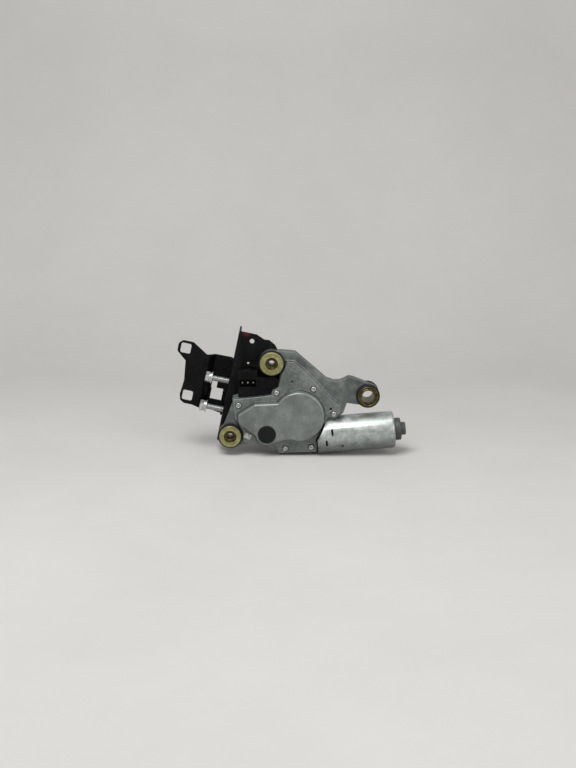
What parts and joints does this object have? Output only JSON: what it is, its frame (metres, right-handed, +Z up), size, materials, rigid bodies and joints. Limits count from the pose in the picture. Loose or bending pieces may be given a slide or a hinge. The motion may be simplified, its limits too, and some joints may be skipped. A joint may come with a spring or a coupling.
{
  "type": "wiper motor",
  "caption": "Rear window wiper motor: a worm-geared motor whose toothed sector swings an output shaft, rubber mounted on a folded steel bracket.",
  "frame": {"origin": "on the output shaft's axis, at the end of its bearing boss", "axes": "+Y out along the output shaft, +X towards the motor can, +Z up, square to both"},
  "size_m": [0.2331, 0.0802, 0.126],
  "materials": {
    "cast_aluminium": "sand-textured casting, dulled",
    "cover_aluminium": "pressed sheet, dulled",
    "gasket": "matt",
    "black_plastic": "matt moulded",
    "plug_plastic": "matt, dusty",
    "screw_steel": "zinc plated",
    "bright_steel": "zinc plated, bright",
    "shaft_steel": "ground",
    "gear_steel": "machined",
    "bronze": "sintered bronze",
    "rubber": "matt",
    "yellow_zinc": "yellow passivated zinc",
    "brass_zinc": "yellow passivated, worn",
    "can_zinc": "mottled galvanised steel",
    "cap_grey": "dark grey, matt",
    "bracket_black": "black coated steel",
    "wheel_plastic": "natural acetal",
    "lamination": "pressed laminations",
    "copper": "enamelled copper",
    "magnet": "ferrite",
    "carbon": "carbon"
  },
  "bodies": {
    "housing": {"gear_housing": "cast_aluminium", "gear_cover": "cover_aluminium", "cover_gasket": "gasket", "cover_plug": "plug_plastic", "cover_screws": "screw_steel", "cover_clip": "screw_steel", "output_bushes": "bronze", "shaft_seal": "rubber", "wheel_axle": "shaft_steel", "wheel_clip": "shaft_steel", "end_bearing": "bronze", "thrust_button": "shaft_steel", "middle_bearing": "bronze", "brush_holder": "black_plastic", "carbon_brushes": "carbon", "brush_springs": "bright_steel", "motor_can": "can_zinc", "field_magnets": "magnet", "can_bearing": "bronze", "bearing_cap": "cap_grey", "upper_rubber": "rubber", "lower_rubber": "rubber", "arm_rubber": "rubber", "upper_sleeve": "yellow_zinc", "lower_sleeve": "yellow_zinc", "arm_sleeve": "brass_zinc", "main_bracket": "bracket_black", "side_bracket": "bracket_black", "bracket_rivets": "bracket_black", "bracket_bolts": "bright_steel", "spring_washers": "bright_steel", "flat_washers": "bright_steel", "weld_nuts": "bracket_black", "connector_housing": "black_plastic", "connector_lid": "black_plastic", "connector_terminals": "copper", "contact_plate": "black_plastic", "contact_springs": "copper"},
    "armature": {"armature_shaft": "shaft_steel", "armature_core": "lamination", "armature_windings": "copper", "commutator": "copper"},
    "wheel": {"worm_wheel": "wheel_plastic", "park_disc": "copper", "crank_pin": "shaft_steel"},
    "output": {"output_shaft": "shaft_steel", "output_pinion": "gear_steel", "thrust_washer": "shaft_steel", "shaft_circlip": "shaft_steel", "link_clip": "shaft_steel"},
    "link": {"rocker_link": "gear_steel", "sector_pin": "shaft_steel"},
    "rod": {"sector_rod": "gear_steel"}
  },
  "joints": [
    {"name": "armature_spin", "type": "hinge", "parent": "housing", "child": "armature", "pos_m": [0.03444, -0.036, -0.00687], "axis": [0.9966, 0, 0.0819], "continuous": true},
    {"name": "wheel_spin", "type": "hinge", "parent": "housing", "child": "wheel", "pos_m": [0.0324, -0.036, 0.018], "axis": [0, 1, 0], "continuous": true},
    {"name": "wiper_sweep", "type": "hinge", "parent": "housing", "child": "output", "pos_m": [0, 0, 0], "axis": [0, 1, 0], "range_deg": [0, 110]},
    {"name": "link_swing", "type": "hinge", "parent": "housing", "child": "link", "pos_m": [0, 0, 0], "axis": [0, 1, 0], "range_deg": [0, 36.7]},
    {"name": "rod_turn", "type": "hinge", "parent": "link", "child": "rod", "pos_m": [-0.01068, -0.044, 0.0198], "axis": [0, 1, 0], "range_deg": [-36.7, 0]}
  ],
  "couplings": [
    {"joint": "wheel_spin", "follows": "armature_spin", "ratio": 0.02},
    {"joint": "link_swing", "follows": "wiper_sweep", "ratio": 0.33333},
    {"joint": "rod_turn", "follows": "wiper_sweep", "ratio": -0.33333}
  ]
}
